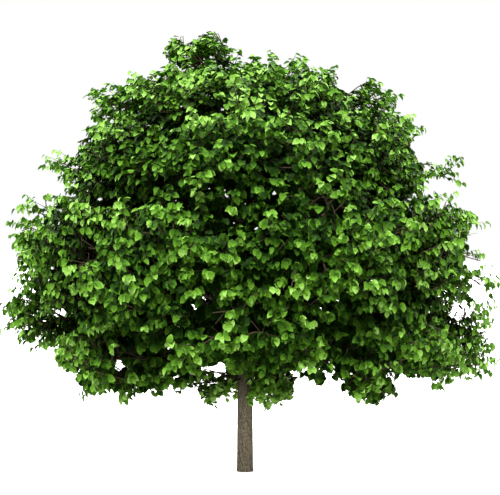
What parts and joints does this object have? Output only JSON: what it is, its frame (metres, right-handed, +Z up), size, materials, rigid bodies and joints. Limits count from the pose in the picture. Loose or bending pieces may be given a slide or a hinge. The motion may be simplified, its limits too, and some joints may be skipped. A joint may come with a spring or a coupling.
{
  "type": "small-leaved lime tree",
  "caption": "Small-leaved lime tree in full leaf: clear straight trunk with fissured bark under a broad, dense green dome of heart-shaped leaves.",
  "frame": {"origin": "Middle of the flat cut under the trunk, at ground level.", "axes": "+Z up along the trunk; +X to the right and +Y away from the viewer of the reference view."},
  "size_m": [13.2513, 13.802, 11.7816],
  "materials": {
    "trunk_bark": "rough, vertically fissured grey-brown bark",
    "bough_bark": "rough dark brown bark",
    "foliage": "soft green leaves, satin on their upper side"
  },
  "bodies": {
    "root": {"trunk": "trunk_bark", "bough_skirt_1": "bough_bark", "bough_skirt_2": "bough_bark", "bough_skirt_3": "bough_bark", "bough_skirt_4": "bough_bark", "bough_skirt_5": "bough_bark", "bough_skirt_6": "bough_bark", "bough_skirt_7": "bough_bark", "bough_skirt_8": "bough_bark", "bough_belt_1": "bough_bark", "bough_belt_2": "bough_bark", "bough_belt_3": "bough_bark", "bough_belt_4": "bough_bark", "bough_belt_5": "bough_bark", "bough_belt_6": "bough_bark", "bough_belt_7": "bough_bark", "bough_belt_8": "bough_bark", "bough_shoulder_1": "bough_bark", "bough_shoulder_2": "bough_bark", "bough_shoulder_3": "bough_bark", "bough_shoulder_4": "bough_bark", "bough_shoulder_5": "bough_bark", "bough_shoulder_6": "bough_bark", "bough_crest_1": "bough_bark", "bough_crest_2": "bough_bark", "bough_crest_3": "bough_bark", "bough_crest_4": "bough_bark", "bough_crest_5": "bough_bark", "foliage_skirt_1": "foliage", "foliage_skirt_2": "foliage", "foliage_skirt_3": "foliage", "foliage_skirt_4": "foliage", "foliage_skirt_5": "foliage", "foliage_skirt_6": "foliage", "foliage_skirt_7": "foliage", "foliage_skirt_8": "foliage", "foliage_belt_1": "foliage", "foliage_belt_2": "foliage", "foliage_belt_3": "foliage", "foliage_belt_4": "foliage", "foliage_belt_5": "foliage", "foliage_belt_6": "foliage", "foliage_belt_7": "foliage", "foliage_belt_8": "foliage", "foliage_shoulder_1": "foliage", "foliage_shoulder_2": "foliage", "foliage_shoulder_3": "foliage", "foliage_shoulder_4": "foliage", "foliage_shoulder_5": "foliage", "foliage_shoulder_6": "foliage", "foliage_crest_1": "foliage", "foliage_crest_2": "foliage", "foliage_crest_3": "foliage", "foliage_crest_4": "foliage", "foliage_crest_5": "foliage", "foliage_inner_1": "foliage", "foliage_inner_2": "foliage", "foliage_inner_3": "foliage", "foliage_cap": "foliage"}
  },
  "joints": []
}
